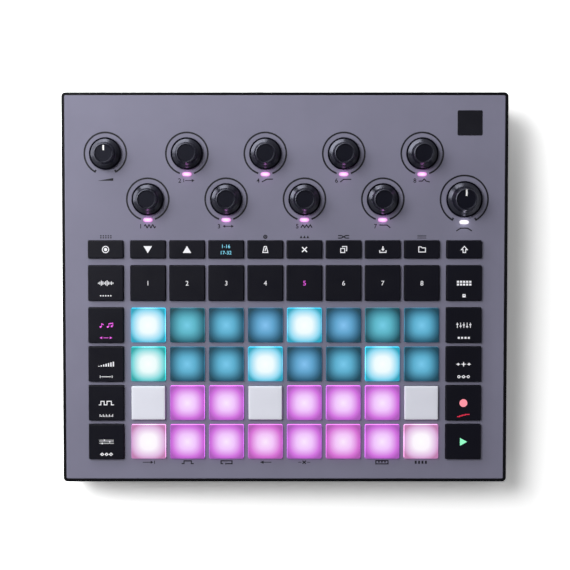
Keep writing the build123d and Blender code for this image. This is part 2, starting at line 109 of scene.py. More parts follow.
# Surfaces: colour, roughness, tone drift, grain scale and strength, gloss drift and specular level
plain_looks = {
    "panel_grey": (panel_colour, 0.48, 0.03, 3200.0, 0.07, 0.04, 0.2),
    "case_black": (case_colour, 0.42, 0.12, 1900.0, 0.20, 0.06, 0.12),
    "key_black": (key_colour, 0.36, 0.08, 3000.0, 0.06, 0.04, 0.17),
    "knob_black": (knob_colour, 0.55, 0.10, 2600.0, 0.08, 0.05, 0.03),
    "knob_flank": (knob_colour, 0.30, 0.08, 3400.0, 0.05, 0.03, 1.0),
    "knob_top": (knob_colour, 0.40, 0.10, 3000.0, 0.10, 0.05, 0.18),
    "pad_silicone": (silicone_colour, 0.55, 0.02, 2400.0, 0.06, 0.05, 0.4),
    "foot_rubber": ((0.018, 0.018, 0.018), 0.78, 0.15, 1500.0, 0.35, 0.06, 0.5),
    "screw_steel": ((0.42, 0.42, 0.43), 0.34, 0.08, 1800.0, 0.06, 0.10, 0.5),
    "board_green": ((0.010, 0.070, 0.028), 0.38, 0.30, 700.0, 0.12, 0.08, 0.5),
    "chip_white": ((0.72, 0.71, 0.66), 0.45, 0.05, 2000.0, 0.08, 0.05, 0.5),
    "control_metal": ((0.55, 0.55, 0.56), 0.30, 0.08, 1800.0, 0.06, 0.10, 0.5),
    "switch_black": ((0.016, 0.016, 0.017), 0.52, 0.10, 2200.0, 0.15, 0.05, 0.5),
    "sensor_film": ((0.20, 0.13, 0.05), 0.30, 0.10, 600.0, 0.05, 0.06, 0.5),
    "socket_black": ((0.013, 0.013, 0.014), 0.40, 0.10, 2200.0, 0.12, 0.05, 0.5),
    "socket_steel": ((0.58, 0.58, 0.60), 0.26, 0.08, 1800.0, 0.06, 0.10, 0.5),
    "battery_wrap": ((0.030, 0.060, 0.170), 0.33, 0.08, 500.0, 0.08, 0.06, 0.5),
    "print_black": (print_colour, 0.50, 0.10, 2600.0, 0.08, 0.05, 0.3),
    "badge_black": (print_colour, 0.24, 0.10, 2600.0, 0.03, 0.04, 0.4),
    "pointer_white": ((0.88, 0.88, 0.88), 0.45, 0.03, 2600.0, 0.05, 0.05, 0.5),
}
lit_pad_look = (0.45, 0.10, 2400.0, 0.06, 0.05, 0.12)
window_look = (0.30, 0.05, 1500.0, 0.05, 0.05, 0.35)
legend_grain = 2600.0
legend_look = (0.5, 0.04, legend_grain, 0.04, 0.05, 0.35)
metal_names = ("screw_steel", "control_metal", "socket_steel")
knob_zones = ("knob_flank", "knob_top")
tone_scale = 55.0
gloss_scale = 90.0
patch_detail = 3.0
grain_detail = 2.0
grain_depth = 0.05 * mm
noise_span = (0.3, 0.7)

# Pad glow: tone at the middle, part of the way out, at the edge and in the corner
pad_glows = {
    "bright_cyan": ((0.97, 0.99, 1.00), (0.86, 0.97, 0.99), (0.27, 0.69, 0.88), (0.020, 0.36, 0.50)),
    "bright_mint": ((0.97, 0.99, 0.98), (0.84, 0.97, 0.96), (0.22, 0.69, 0.71), (0.020, 0.37, 0.37)),
    "dim_teal": ((0.17, 0.60, 0.78), (0.10, 0.45, 0.56), (0.030, 0.18, 0.24), (0.006, 0.055, 0.072)),
    "dim_cyan": ((0.18, 0.57, 0.82), (0.10, 0.41, 0.60), (0.026, 0.14, 0.22), (0.006, 0.050, 0.080)),
    "dim_blue": ((0.22, 0.53, 0.86), (0.11, 0.36, 0.60), (0.028, 0.13, 0.23), (0.008, 0.050, 0.080)),
    "pink": ((0.96, 0.79, 0.99), (0.88, 0.56, 0.98), (0.64, 0.16, 0.73), (0.40, 0.09, 0.47)),
    "rose": ((0.97, 0.80, 0.98), (0.90, 0.56, 0.95), (0.68, 0.16, 0.66), (0.44, 0.09, 0.43)),
    "blush": ((1.00, 0.98, 1.00), (0.98, 0.92, 0.99), (0.74, 0.47, 0.74), (0.52, 0.20, 0.42)),
}
glow_stop_shares = (0.0, 0.35, 0.68, 0.85)
glow_roundness = 2.6
glow_reach_share = 1.30
wall_glow = 4.4
wall_glow_top = 0.9 * mm
pad_rows = [
    ["bright_cyan", "dim_teal", "dim_cyan", "dim_blue", "bright_cyan", "dim_blue", "dim_teal", "dim_cyan"],
    ["bright_mint", "dim_cyan", "dim_cyan", "bright_cyan", "dim_blue", "dim_cyan", "bright_cyan", "dim_cyan"],
    ["unlit", "pink", "pink", "unlit", "pink", "pink", "pink", "unlit"],
    ["blush", "pink", "pink", "rose", "pink", "rose", "pink", "blush"],
]

# Pads
pad_side = 18.25 * mm
pad_corner = 0.5 * mm
pad_edge = 0.45 * mm
pad_crown = 0.08 * mm
pad_bottom = -2.4 * mm
web_bottom = -3.2 * mm
foot_bottom = -6.6 * mm
foot_radius = 6.0 * mm
crown_shares = (0.82, 0.55, 0.3, 0.1)
least_corner_share = 0.25
pad_crease_angle = math.radians(50)
corner_steps = 5
edge_steps = 4

# Knobs
knob_gap = 0.6 * mm
knob_skirt = 1.0 * mm
knob_ledge = 0.9 * mm
knob_round = 0.45 * mm
knob_rim = 0.55 * mm
dish_depth = 0.4 * mm
top_radius = 5.3 * mm
filter_top_radius = 5.8 * mm
soft_edge = 0.12 * mm
shaft_radius = 3.0 * mm
hub_share = 0.15
crease_angle = math.radians(34)
brim_width = 2.3 * mm
brim_rise = 1.75 * mm
brim_round = 2.0 * mm
knob_segments = 128
brim_steps = 8
round_steps = 6
pointer_half = 0.45 * mm
pointer_spans = {"volume_knob": (1.5 * mm, 4.3 * mm), "filter_knob": (1.9 * mm, 5.4 * mm)}
pointer_sink = 0.2 * mm
pointer_proud = 0.03 * mm

# Light windows
window_length = 5.2 * mm
window_width = 2.2 * mm
window_drop = 11.1 * mm
filter_window_drop = 12.3 * mm
window_dome = 0.12 * mm
window_round = 0.3 * mm
window_flange = 0.7 * mm
panel_bottom = -2.2 * mm
flange_bottom = -3.0 * mm

# Print on the panel and legends on the keys
print_sink = 0.02 * mm
print_proud = 0.03 * mm
weld_distance = 0.001 * mm
ring_line = 0.90 * mm
ring_radius = 11.3 * mm
filter_ring_radius = 12.8 * mm
encoder_ring_gap = math.radians(19.5)
dial_ring_gap = math.radians(30.0)
dial_tick_share = 0.90
ring_steps = 120
disc_steps = 32
circle_steps = 48
mitre_limit_share = 0.35
mark_line = 0.58 * mm
legend_line = 0.46 * mm
knob_number_height = 2.4 * mm
print_weight = 0.015
key_number_height = 2.5 * mm
page_number_height = 1.9 * mm
page_line_gap = 1.7 * mm
knob_label_drop = 14.5 * mm
knob_number_step = -3.9 * mm
knob_sign_step = 1.1 * mm
volume_label_drop = 13.9 * mm
filter_label_drop = 16.2 * mm
row_label_rise = 6.8 * mm
pad_label_drop = 11.4 * mm
second_line_drop = 6.8 * mm
row_sign = (3.0 * mm, 0.95 * mm)
knob_sign = (3.0 * mm, 1.05 * mm)
dial_sign = (4.2 * mm, 1.05 * mm)
pad_sign = (3.3 * mm, 1.05 * mm)
main_sign = (2.5 * mm, 2.5 * mm)
wide_sign = (3.9 * mm, 1.5 * mm)
compact_sign = (1.8 * mm, 1.8 * mm)
second_sign = (3.4 * mm, 0.85 * mm)
arrow_sign = (2.3 * mm, 2.3 * mm)
badge_side = 13.5 * mm
badge_corner = 0.8 * mm
badge_place = (99.5 * mm, 88.9 * mm)
badge_height = 0.06 * mm
lit_track = 5

# Names that several sections share
body_root = "chassis"
columns = range(1, 9)
encoder_names = [f"encoder_knob_{number}" for number in columns]
dial_names = ["volume_knob", "filter_knob"]
short_names = ["capture", "scroll_down", "scroll_up", "page", "tempo", "clear", "copy", "save",
               "projects", "shift"]
track_names = ["sample"] + [f"track_{number}" for number in columns] + ["patterns"]
side_names = ["note", "velocity", "gate", "pattern_settings", "mixer", "effects", "record", "play"]

# Signs, in shares of their half width and half height
wave_steps = 24
wave_turns = 3
wave_swing_share = 0.8
wave_angles = [2 * half_turn * wave_turns * step / wave_steps for step in range(wave_steps + 1)]
wave_shares = [(2 * step / wave_steps - 1, wave_swing_share * math.sin(angle))
               for step, angle in enumerate(wave_angles)]
note_shares = ((-0.75, 0), (0.25, 0), (0.8, 0.25))
signs = {
    "dot_ring": [("ring", 0, 0, 0.95), ("disc", 0, 0, 0.5)],
    "down": [("fill", (-1, 0.8), (0, -0.85), (1, 0.8))],
    "up": [("fill", (-1, -0.8), (1, -0.8), (0, 0.85))],
    "pendulum": [("loop", (-0.75, -0.9), (0.75, -0.9), (0.32, 0.9), (-0.32, 0.9)),
                 ("line", (-0.1, -0.5), (0.16, 0.5))],
    "cross": [("fill", (-0.85, -0.6), (-0.6, -0.85), (0, -0.25), (0.6, -0.85), (0.85, -0.6), (0.25, 0),
               (0.85, 0.6), (0.6, 0.85), (0, 0.25), (-0.6, 0.85), (-0.85, 0.6), (-0.25, 0))],
    "two_sheets": [("loop", (-0.9, -0.9), (0.3, -0.9), (0.3, 0.3), (-0.9, 0.3)),
                   ("line", (-0.35, 0.65), (-0.35, 0.9), (0.9, 0.9), (0.9, -0.35), (0.65, -0.35))],
    "tray": [("line", (-0.95, -0.2), (-0.95, -0.85), (0.95, -0.85), (0.95, -0.2)),
             ("fill", (-0.18, 0.95), (-0.18, 0.2), (-0.55, 0.2), (0, -0.45), (0.55, 0.2), (0.18, 0.2),
              (0.18, 0.95))],
    "folder": [("loop", (-1, -0.75), (1, -0.75), (1, 0.5), (0, 0.5), (-0.25, 0.8), (-1, 0.8))],
    "hollow_arrow": [("loop", (-0.4, -0.9), (0.4, -0.9), (0.4, -0.05), (0.9, -0.05), (0, 0.95),
                      (-0.9, -0.05), (-0.4, -0.05))],
    "wave_bars": [("bar", x / 5 - 0.055, -y, x / 5 + 0.055, y) for x, y in
                  zip(range(-5, 6), (0.2, 0.5, 0.9, 0.6, 0.3, 0.7, 1.0, 0.55, 0.35, 0.6, 0.25))],
    "grid": [("bar", x, y, x + 0.3, y + 0.7) for x in (-1, -0.57, -0.15, 0.27, 0.7) for y in (-0.85, 0.15)],
    "notes": [("disc", x, y - 0.6, 0.34) for x, y in note_shares]
             + [("bar", x + 0.12, y - 0.6, x + 0.19, y + 0.7) for x, y in note_shares]
             + [("fill", (0.37, 0.35), (0.99, 0.6), (0.99, 0.95), (0.37, 0.7)),
                ("fill", (-0.57, 0.7), (-0.57, 0.35), (-0.3, 0.05), (-0.3, 0.35))],
    "rising_bars": [("bar", x / 3 - 0.09, -0.85, x / 3 + 0.09, y) for x, y in
                    zip(range(-3, 4), (-0.6, -0.35, -0.1, 0.15, 0.4, 0.65, 0.9))],
    "pulses": [("line", (-1.05, -0.65), (-0.75, -0.65), (-0.75, 0.65), (-0.3, 0.65), (-0.3, -0.65),
                (0.1, -0.65), (0.1, 0.65), (0.7, 0.65), (0.7, -0.65), (1.05, -0.65))],
    "sliders": [("bar", -1.0, y - 0.07, 1.0, y + 0.07) for y in (-0.6, 0, 0.6)]
               + [("disc", x, y, 0.27) for x, y in ((-0.3, 0.6), (0.45, 0), (-0.6, -0.6))],
    "faders": [("bar", x - 0.045, -0.95, x + 0.045, 0.95) for x in (-0.9, -0.45, 0, 0.45, 0.9)]
              + [("bar", x - 0.15, y - 0.16, x + 0.15, y + 0.16) for x, y in
                 ((-0.9, 0.35), (-0.45, -0.3), (0, 0.1), (0.45, -0.5), (0.9, 0.2))],
    "stars": [("fill", (x, -y), (x + 0.1, -0.2), (x + 0.2 + 0.2 * y, 0), (x + 0.1, 0.2), (x, y),
               (x - 0.1, 0.2), (x - 0.2 - 0.2 * y, 0), (x - 0.1, -0.2))
              for x, y in ((-0.75, 0.6), (0, 1), (0.75, 0.6))],
    "dot": [("disc", 0, 0, 0.85)],
    "play": [("fill", (-0.7, -0.85), (0.85, 0), (-0.7, 0.85))],
    "dots": [("disc", x, 0, 0.45) for x in (-0.8, -0.4, 0, 0.4, 0.8)],
    "spread": [("fill", (-1, 0), (-0.6, -0.8), (-0.6, 0.8)), ("bar", -0.4, -0.2, 0.4, 0.2),
               ("fill", (1, 0), (0.6, 0.8), (0.6, -0.8))],
    "level": [("bar", -1, -0.8, -0.9, 0.8), ("bar", -0.75, -0.2, 0.75, 0.2), ("bar", 0.9, -0.8, 1, 0.8)],
    "ticks": [("bar", x / 4 - 0.06, -0.8, x / 4 + 0.06, 0.8 if x % 2 == 0 else 0) for x in range(-4, 5)],
    "diamonds": [("loop", (x - 0.24, 0), (x, -0.8), (x + 0.24, 0), (x, 0.8)) for x in (-0.7, 0, 0.7)],
    "squares": [("bar", x - 0.16, -0.6, x + 0.16, 0.6) for x in (-0.8, -0.27, 0.27, 0.8)],
    "links": [("ring", x, 0, 0.7) for x in (-0.75, 0, 0.75)]
             + [("bar", x - 0.1, -0.15, x + 0.1, 0.15) for x in (-0.375, 0.375)],
    "steps": [("line", (-1, -0.7), (-0.6, -0.7), (-0.6, -0.2), (-0.2, -0.2), (-0.2, 0.3), (0.3, 0.3),
               (0.3, 0.75), (1, 0.75))],
    "lock": [("bar", -0.26, -1.0, 0.26, 0.1), ("line", (-0.17, 0.1), (-0.17, 0.8), (0.17, 0.8), (0.17, 0.1))],
    "pads": [("bar", x, y, x + 0.24, y + 0.7) for x in (-1, -0.55, -0.1, 0.35, 0.8) for y in (-0.9, 0.2)],
    "tap": [("ring", 0, 0, 0.9), ("disc", 0, 0, 0.4)],
    "click": [("fill", (x - 0.26, -0.8), (x + 0.26, -0.8), (x, 0.8)) for x in (-0.6, 0, 0.6)],
    "shuffle": [("line", (-1, y), (-0.4, y), (0.4, -y), (1, -y)) for y in (-0.7, 0.7)],
    "stack": [("bar", -0.8, y - 0.14, 0.8, y + 0.14) for y in (-0.75, 0, 0.75)],
    "one_shot": [("bar", -1, -0.18, 0.3, 0.18), ("fill", (0.3, -0.8), (0.75, 0), (0.3, 0.8)),
                 ("bar", 0.88, -0.85, 1, 0.85)],
    "gated": [("line", (-1, -0.7), (-0.6, -0.7), (-0.6, 0.7), (0.6, 0.7), (0.6, -0.7), (1, -0.7))],
    "looped": [("line", (0.1, -0.75), (0.9, -0.75), (0.9, 0.75), (-0.9, 0.75), (-0.9, -0.75), (-0.55, -0.75)),
               ("fill", (-0.2, -1.25), (-0.2, -0.25), (0.25, -0.75))],
    "reverse": [("bar", -0.3, -0.18, 1, 0.18), ("fill", (-0.3, -0.8), (-0.3, 0.8), (-0.9, 0))],
    "choke": [("bar", -1, -0.15, -0.45, 0.15), ("bar", 0.45, -0.15, 1, 0.15),
              ("line", (-0.28, -0.75), (0.28, 0.75)), ("line", (-0.28, 0.75), (0.28, -0.75))],
    "keys": [("loop", (-1, -0.85), (1, -0.85), (1, 0.85), (-1, 0.85))]
            + [("bar", x - 0.12, -0.2, x + 0.12, 0.85) for x in (-0.5, 0, 0.5)],
    "slices": [("bar", x - 0.16, -0.8, x + 0.16, 0.8) for x in (-0.84, -0.28, 0.28, 0.84)],
    "wave": [("line", *wave_shares)],
    "start": [("bar", -1, -0.85, -0.88, 0.85), ("bar", -0.7, -0.18, 0.5, 0.18),
              ("fill", (0.5, -0.8), (1, 0), (0.5, 0.8))],
    "length": [("fill", (-1, 0), (-0.55, -0.75), (-0.55, 0.75)), ("bar", -0.55, -0.18, 0.55, 0.18),
               ("fill", (1, 0), (0.55, 0.75), (0.55, -0.75))],
    "slope": [("line", (-1, -0.75), (-0.1, 0.7), (1, 0.7))],
    "fold": [("line", (-1, -0.7), (-0.67, 0.7), (-0.33, -0.7), (0, 0.7), (0.33, -0.7), (0.67, 0.7),
              (1, -0.7))],
    "high_pass": [("line", (-1, -0.8), (-0.4, 0.6), (1, 0.6))],
    "low_pass": [("line", (-1, 0.6), (0.4, 0.6), (1, -0.8))],
    "peak": [("line", (-1, -0.3), (-0.35, -0.3), (0, 0.8), (0.35, -0.3), (1, -0.75))],
    "wedge": [("fill", (-1, -0.7), (1, -0.7), (1, 0.7))],
    "sweep": [("line", (-1, -0.8), (-0.45, 0.6), (0.45, 0.6), (1, -0.8))],
}
knob_signs = ["wave", "start", "length", "slope", "fold", "high_pass", "low_pass", "peak"]
row_signs = {"capture": "pads", "tempo": "tap", "clear": "click", "copy": "shuffle", "projects": "stack"}
pad_signs = ["one_shot", "gated", "looped", "reverse", "choke", None, "keys", "slices"]
key_signs = {
    "capture": ("dot_ring", compact_sign), "scroll_down": ("down", arrow_sign),
    "scroll_up": ("up", arrow_sign), "tempo": ("pendulum", compact_sign), "clear": ("cross", compact_sign),
    "copy": ("two_sheets", compact_sign), "save": ("tray", compact_sign),
    "projects": ("folder", compact_sign), "shift": ("hollow_arrow", compact_sign),
    "sample": ("wave_bars", wide_sign), "patterns": ("grid", wide_sign), "note": ("notes", wide_sign),
    "velocity": ("rising_bars", wide_sign), "gate": ("pulses", wide_sign),
    "pattern_settings": ("sliders", wide_sign), "mixer": ("faders", wide_sign),
    "effects": ("stars", wide_sign), "record": ("dot", main_sign), "play": ("play", main_sign),
}
second_signs = {
    "sample": "dots", "patterns": "lock", "note": "spread", "velocity": "level", "gate": "ticks",
    "pattern_settings": "diamonds", "mixer": "squares", "effects": "links", "record": "steps",
}
plain_legend = "white_legend"
sign_legends = {"note": "magenta_legend", "record": "rose_legend", "play": "green_legend"}
second_legends = {"note": "magenta_legend", "record": "red_legend"}
page_words = {-1: "1-16", 1: "17-32"}
page_legend = "cyan_legend"
track_legends = {lit_track: "magenta_legend"}


# Panel frame: u to the right, v to the rear, w out of the panel, from the middle of its top face

joints = {joint["name"]: joint for joint in frame["joints"]}


def panel_matrix():
    joint = joints["turn_volume_knob"]
    out = Vector(joint["axis"]).normalized()
    right = Vector((1, 0, 0))
    rear = out.cross(right)
    origin = out * Vector(joint["pos_m"]).dot(out)
    matrix = Matrix.Identity(4)
    for index, column in enumerate((right, rear, out, origin)):
        matrix.col[index][:3] = column
    turned = matrix.inverted()
    reach = [(turned @ vertex.co).y for vertex in frame["nodes"]["top_panel"].data.vertices]
    return matrix @ Matrix.Translation((0, (min(reach) + max(reach)) / 2, 0))


panel = panel_matrix()
to_panel = panel.inverted()


def panel_box(node):
    """Lowest and highest corner of a node in the panel frame."""
    points = [to_panel @ vertex.co for vertex in frame["nodes"][node].data.vertices]
    low = Vector([min(point[axis] for point in points) for axis in range(3)])
    high = Vector([max(point[axis] for point in points) for axis in range(3)])
    return low, high


def panel_middle(node):
    """Middle of a node's top in the panel frame."""
    low, high = panel_box(node)
    return Vector(((low.x + high.x) / 2, (low.y + high.y) / 2, high.z))


knob_middles = {name: to_panel @ Vector(joints[f"turn_{name}"]["pos_m"])
                for name in encoder_names + dial_names}
key_middles = {name: panel_middle(f"{name}_button") for name in short_names + track_names + side_names}
column_u = [key_middles[f"track_{number}"].x for number in columns]


# Meshes

def close_mesh(mesh, name, sharp=None):
    """Turns a finished bmesh into mesh data, smooth up to an angle if one is given."""
    bmesh.ops.recalc_face_normals(mesh, faces=mesh.faces)
    data = bpy.data.meshes.new(name)
    mesh.to_mesh(data)
    mesh.free()
    if sharp:
        data.polygons.foreach_set("use_smooth", [True] * len(data.polygons))
        data.set_sharp_from_angle(angle=sharp)
    return data


def add_piece(name, data, finish, body, place):
    """Links a piece, puts it in place and lets it ride on a body."""
    piece = bpy.data.objects.new(name, data)
    scene.collection.objects.link(piece)
    piece.matrix_world = place
    data.materials.clear()
    data.materials.append(finishes[finish].material)
    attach(piece, body)
    return piece


def rounded_outline(width, depth, corner):
    """Points of a rounded rectangle, anticlockwise."""
    points = []
    for turn, (side_x, side_y) in enumerate(((1, 1), (-1, 1), (-1, -1), (1, -1))):
        for step in range(corner_steps + 1):
            angle = quarter * (turn + step / corner_steps)
            x = side_x * (width / 2 - corner) + corner * math.cos(angle)
            y = side_y * (depth / 2 - corner) + corner * math.sin(angle)
            points.append((x, y))
    return points


def round_outline(radius, steps, middle=(0, 0)):
    """Points of a circle, anticlockwise."""
    angles = [2 * half_turn * step / steps for step in range(steps)]
    return [(middle[0] + radius * math.cos(angle), middle[1] + radius * math.sin(angle)) for angle in angles]


def lift(outline, height):
    return [(x, y, height) for x, y in outline]


def add_stack(mesh, rings):
    """Closed skin over rings of equally many points, from the first to the last."""
    loops = [[mesh.verts.new(point) for point in ring] for ring in rings]
    count = len(loops[0])
    for lower, upper in zip(loops, loops[1:]):
        for index in range(count):
            after = (index + 1) % count
            mesh.faces.new((lower[index], lower[after], upper[after], upper[index]))
    mesh.faces.new(list(reversed(loops[0])))
    mesh.faces.new(loops[-1])


def add_prism(mesh, outline, low, high):
    """Thin plate over one outline."""
    add_stack(mesh, [lift(outline, low), lift(outline, high)])


def add_band(mesh, left, right, low, high, closed):
    """Thin plate between two lines of equally many points."""
    lines = [[mesh.verts.new((x, y, level)) for x, y in line]
             for line in (left, right) for level in (low, high)]
    left_low, left_high, right_low, right_high = lines
    count = len(left)
    for index in range(count if closed else count - 1):
        after = (index + 1) % count
        mesh.faces.new((left_high[index], left_high[after], right_high[after], right_high[index]))
        mesh.faces.new((left_low[index], right_low[index], right_low[after], left_low[after]))
        mesh.faces.new((left_low[index], left_low[after], left_high[after], left_high[index]))
        mesh.faces.new((right_low[index], right_high[index], right_high[after], right_low[after]))
    if not closed:
        for index in (0, count - 1):
            mesh.faces.new((left_low[index], left_high[index], right_high[index], right_low[index]))


def offset_lines(points, half, closed):
    """The two sides of a stroke, with mitred corners."""
    left = []
    right = []
    count = len(points)
    for index, point in enumerate(points):
        here = Vector(point)
        ways = []
        if closed or index > 0:
            ways.append((here - Vector(points[index - 1])).normalized())
        if closed or index < count - 1:
            ways.append((Vector(points[(index + 1) % count]) - here).normalized())
        along = sum(ways, Vector((0, 0))).normalized()
        across = Vector((-along.y, along.x))
        reach = half / max(along.dot(ways[0]), mitre_limit_share)
        left.append(here + across * reach)
        right.append(here - across * reach)
    return left, right


class Pen:
    """Draws flat marks as thin closed plates, in shares of a size about a middle."""

    def __init__(self, line):
        self.mesh = bmesh.new()
        self.width = line
        self.move((0, 0), 1.0, 1.0)

    def move(self, middle, size_x, size_y):
        self.middle = Vector(middle)
        self.size_x = size_x
        self.size_y = size_y

    def put(self, point):
        return self.middle + Vector((point[0] * self.size_x, point[1] * self.size_y))

    def fill(self, *points):
        add_prism(self.mesh, [self.put(point) for point in points], -print_sink, print_proud)

    def bar(self, left, bottom, right, top):
        self.fill((left, bottom), (right, bottom), (right, top), (left, top))

    def stroke(self, points, closed):
        left, right = offset_lines(points, self.width / 2, closed)
        add_band(self.mesh, left, right, -print_sink, print_proud, closed)

    def line(self, *points):
        self.stroke([self.put(point) for point in points], False)

    def loop(self, *points):
        self.stroke([self.put(point) for point in points], True)

    def disc(self, x, y, radius):
        outline = round_outline(radius * self.size_y, disc_steps, self.put((x, y)))
        add_prism(self.mesh, outline, -print_sink, print_proud)

    def ring(self, x, y, radius):
        self.stroke(round_outline(radius * self.size_y, circle_steps, self.put((x, y))), True)

    def arc(self, radius, start, end):
        angles = [start + (end - start) * step / ring_steps for step in range(ring_steps + 1)]
        ways = [(radius * math.cos(angle), radius * math.sin(angle)) for angle in angles]
        self.line(*ways)

    def sign(self, name, middle, size):
        size_x, size_y = size
        self.move(middle, size_x, size_y)
        for kind, *shares in signs[name]:
            getattr(self, kind)(*shares)

    def data(self, name):
        return close_mesh(self.mesh, name)


def number_data(words, height, weight=0):
    """Plain number as a thin plate, centred, with a given height."""
    curve = bpy.data.curves.new("number", "FONT")
    curve.body = words
    curve.extrude = 1.0
    curve.offset = weight
    carrier = bpy.data.objects.new("number", curve)
    data = bpy.data.meshes.new_from_object(carrier)
    bpy.data.objects.remove(carrier)
    bpy.data.curves.remove(curve)
    xs = [vertex.co.x for vertex in data.vertices]
    ys = [vertex.co.y for vertex in data.vertices]
    scale = height / (max(ys) - min(ys))
    middle = Vector(((max(xs) + min(xs)) / 2, (max(ys) + min(ys)) / 2, 0))
    mesh = bmesh.new()
    mesh.from_mesh(data)
    bpy.data.meshes.remove(data)
    place = Matrix.Diagonal((scale, scale, print_proud, 1.0)) @ Matrix.Translation(-middle)
    bmesh.ops.transform(mesh, matrix=place, verts=mesh.verts)
    bmesh.ops.remove_doubles(mesh, verts=mesh.verts, dist=weld_distance)
    return close_mesh(mesh, f"number_{words}")


# Materials

def spread(nodes, links, source, span, result):
    """Maps one span of values onto another."""
    node = nodes.new("ShaderNodeMapRange")
    for socket, value in zip(("From Min", "From Max", "To Min", "To Max"), (*span, *result)):
        node.inputs[socket].default_value = value
    links.new(source, node.inputs["Value"])
    return node.outputs["Result"]


class Finish:
    """One procedural material: a Principled shader with noise in object space."""

    def __init__(self, name):
        self.material = bpy.data.materials.new(name)
        self.material.use_nodes = True
        self.nodes = self.material.node_tree.nodes
        self.links = self.material.node_tree.links
        self.shader = self.nodes["Principled BSDF"]
        self.place = self.nodes.new("ShaderNodeTexCoord").outputs["Object"]

    def link(self, source, target):
        self.links.new(source, target)

    def set(self, socket, value):
        self.shader.inputs[socket].default_value = value

    def noise(self, scale, detail=grain_detail):
        node = self.nodes.new("ShaderNodeTexNoise")
        node.inputs["Scale"].default_value = scale
        node.inputs["Detail"].default_value = detail
        self.link(self.place, node.inputs["Vector"])
        return node.outputs["Fac"]

    def ramp(self, source, stops):
        node = self.nodes.new("ShaderNodeValToRGB")
        elements = node.color_ramp.elements
        while len(elements) < len(stops):
            elements.new(0.5)
        for element, (position, colour) in zip(elements, stops):
            element.position = position
            element.color = (*colour, 1.0)
        self.link(source, node.inputs["Fac"])
        return node.outputs["Color"]

    def span(self, source, span, result):
        return spread(self.nodes, self.links, source, span, result)

    def math(self, operation, source, value):
        node = self.nodes.new("ShaderNodeMath")
        node.operation = operation
        self.link(source, node.inputs[0])
        if isinstance(value, (int, float)):
            node.inputs[1].default_value = value
        else:
            self.link(value, node.inputs[1])
        return node.outputs["Value"]

    def tone(self, colour, drift):
        """Base colour that drifts a little lighter and darker."""
        dark = tuple(part * (1 - drift) for part in colour)
        light = tuple(min(part * (1 + drift), 1.0) for part in colour)
        patches = self.ramp(self.noise(tone_scale, patch_detail), list(zip(noise_span, (dark, light))))
        self.link(patches, self.shader.inputs["Base Color"])

    def gloss(self, roughness, drift):
        patches = self.noise(gloss_scale, patch_detail)
        level = self.span(patches, noise_span, (roughness - drift, roughness + drift))
        self.link(level, self.shader.inputs["Roughness"])

    def relief(self, height, strength):
        node = self.nodes.new("ShaderNodeBump")
        node.inputs["Strength"].default_value = strength
        node.inputs["Distance"].default_value = grain_depth
        self.link(height, node.inputs["Height"])
        self.link(node.outputs["Normal"], self.shader.inputs["Normal"])


def moulded(name, colour, roughness, drift, grain, strength, gloss_drift, specular):
    """Moulded, painted, rubbery or bare metal surface with a fine grain."""
    finish = Finish(name)
    finish.tone(colour, drift)
    finish.gloss(roughness, gloss_drift)
    finish.relief(finish.noise(grain), strength)
    finish.set("Specular IOR Level", specular)
    return finish


def glow_outwards(finish, half_x, half_y, stop_shares, tones):
    """Emission that changes from the middle of a rounded oblong towards its edge. Returns the object's Z."""
    parts = finish.nodes.new("ShaderNodeSeparateXYZ")
    finish.link(finish.place, parts.inputs["Vector"])
    powers = []
    for axis, half in (("X", half_x), ("Y", half_y)):
        share = finish.math("DIVIDE", parts.outputs[axis], half)
        powers.append(finish.math("POWER", finish.math("ABSOLUTE", share, 0), glow_roundness))
    distance = finish.math("POWER", finish.math("ADD", powers[0], powers[1]), 1 / glow_roundness)
    glow = finish.ramp(distance, list(zip(stop_shares, tones)))
    finish.link(glow, finish.shader.inputs["Emission Color"])
    return parts.outputs["Z"]


def glowing_pad(name, tones):
    """Backlit silicone: bright over its lamp, deeper towards the edges, with light in its walls."""
    finish = moulded(name, pad_body_colour, *lit_pad_look)
    reach = pad_side / 2 * glow_reach_share
    level = glow_outwards(finish, reach, reach, glow_stop_shares, tones)
    strength = finish.span(level, (0, wall_glow_top), (wall_glow, 1.0))
    finish.link(strength, finish.shader.inputs["Emission Strength"])
    return finish


def glowing_window(name, tones, strength):
    """Light window: bright over its chip, deeper at its edge."""
    finish = moulded(name, tones[-1], *window_look)
    glow_outwards(finish, window_length / 2, window_width / 2, window_stop_shares, tones)
    finish.set("Emission Strength", strength)
    return finish


def lit_legend(name, colour, strength):
    """Translucent plastic lit from below, a little uneven."""
    finish = moulded(name, tuple(part * legend_body_share for part in colour), *legend_look)
    pale = tuple(part * legend_pale_share for part in colour)
    patches = finish.noise(legend_grain * legend_patch_share)
    glow = finish.ramp(patches, list(zip(noise_span, (pale, colour))))
    finish.link(glow, finish.shader.inputs["Emission Color"])
    finish.set("Emission Strength", strength)
    return finish


finishes = {name: moulded(name, *look) for name, look in plain_looks.items()}
for metal_name in metal_names:
    finishes[metal_name].set("Metallic", 1.0)
for zone_name in knob_zones:
    finishes[zone_name].set("Specular Tint", cool_sheen)
finishes["light_pipe"] = glowing_window("light_pipe", pink_window_tones, pink_window_strength)
finishes["white_window"] = glowing_window("white_window", white_window_tones, white_window_strength)
for legend_name, (legend_colour, legend_strength) in legend_looks.items():
    finishes[legend_name] = lit_legend(legend_name, legend_colour, legend_strength)
for glow_name, tones in pad_glows.items():
    finishes[glow_name] = glowing_pad(f"pad_{glow_name}", tones)
finishes["unlit"] = finishes["pad_silicone"]


# Finish on the CAD nodes that keep their shape

node_slots = {subpart["node"]: subpart["material_slot"] for subpart in frame["record"]["subparts"]}
for node_name, node in frame["nodes"].items():
    node.data.materials.clear()
    node.data.materials.append(finishes[node_slots[node_name]].material)


# Pads

